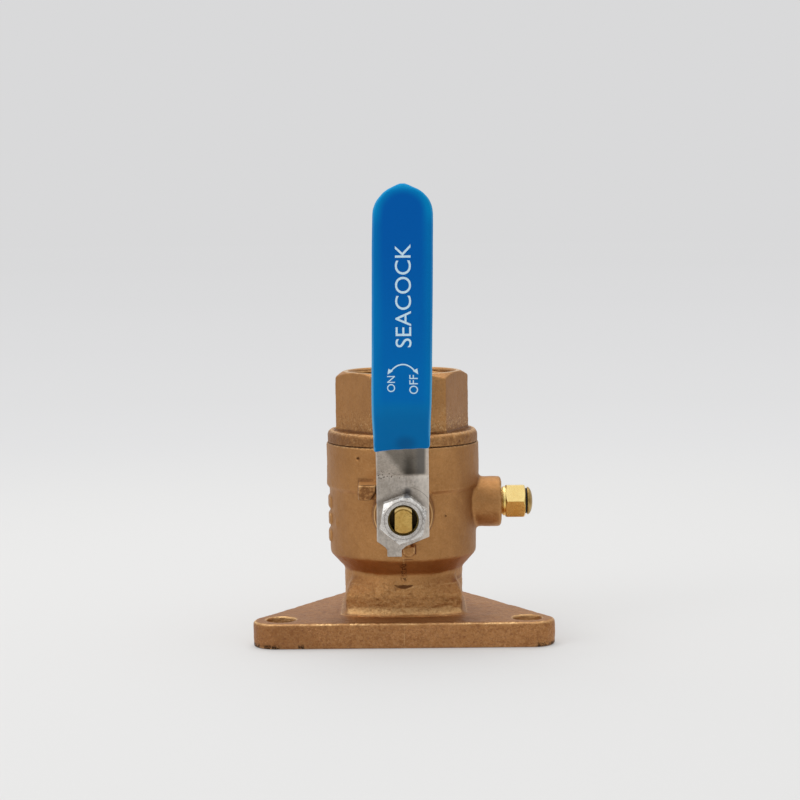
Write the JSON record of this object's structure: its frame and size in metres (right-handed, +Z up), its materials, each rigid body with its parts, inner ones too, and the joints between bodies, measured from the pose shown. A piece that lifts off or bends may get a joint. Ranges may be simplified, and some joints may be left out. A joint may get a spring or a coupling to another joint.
{
  "type": "seacock valve",
  "caption": "Bronze flanged seacock: full-bore ball valve on a triangular hull flange, with a sleeved quarter-turn lever, threaded ports and a side drain screw.",
  "frame": {"origin": "centre of the flange's underside, on the flow axis and in the middle of the bolt circle", "axes": "+Z up along the flow axis, from the hull to the hose end; -Y is the front, where the lever is; +X is the side of the drain boss"},
  "size_m": [0.134, 0.1498, 0.2028],
  "materials": {
    "cast_bronze": "matt sand-cast bronze",
    "adapter_bronze": "matt sand-cast bronze with a turned top face",
    "stem_brass": "turned",
    "drain_brass": "bright turned",
    "lever_steel": "satin stainless",
    "nut_steel": "bright stainless",
    "ball_chrome": "polished chrome plate",
    "blue_vinyl": "soft satin vinyl",
    "ptfe": "matt white",
    "black_rubber": "matt"
  },
  "bodies": {
    "valve": {"valve_body": "cast_bronze", "end_adapter": "adapter_bronze", "body_seal_ring": "ptfe", "seat_lower": "ptfe", "seat_upper": "ptfe", "stem_thrust_washer": "ptfe", "packing_ring_inner": "ptfe", "packing_ring_middle": "ptfe", "packing_ring_outer": "ptfe", "gland_follower": "stem_brass", "gland_nut": "stem_brass", "drain_fitting": "drain_brass"},
    "handle": {"stem": "stem_brass", "stem_oring": "black_rubber", "lever": "lever_steel", "grip_sleeve": "blue_vinyl", "lever_nut": "nut_steel"},
    "ball": {"ball": "ball_chrome"},
    "drain_carrier": {"drain_screw_ring": "black_rubber"},
    "drain_knob": {"drain_screw": "drain_brass"}
  },
  "joints": [
    {"name": "lever_turn", "type": "hinge", "parent": "valve", "child": "handle", "pos_m": [0, 0, 0.0589], "axis": [0, 1, 0], "range_deg": [0, 90]},
    {"name": "ball_turn", "type": "hinge", "parent": "valve", "child": "ball", "pos_m": [0, 0, 0.0589], "axis": [0, 1, 0], "range_deg": [0, 90]},
    {"name": "drain_screw_travel", "type": "slide", "parent": "valve", "child": "drain_carrier", "axis": [1, 0, 0], "range_m": [0, 0.002]},
    {"name": "drain_screw_turn", "type": "hinge", "parent": "drain_carrier", "child": "drain_knob", "pos_m": [0.05, 0, 0.0594], "axis": [1, 0, 0], "range_deg": [0, 720]}
  ],
  "couplings": [
    {"joint": "ball_turn", "follows": "lever_turn", "ratio": 1},
    {"joint": "drain_screw_turn", "follows": "drain_screw_travel", "rad_per_m": 6283.2}
  ]
}
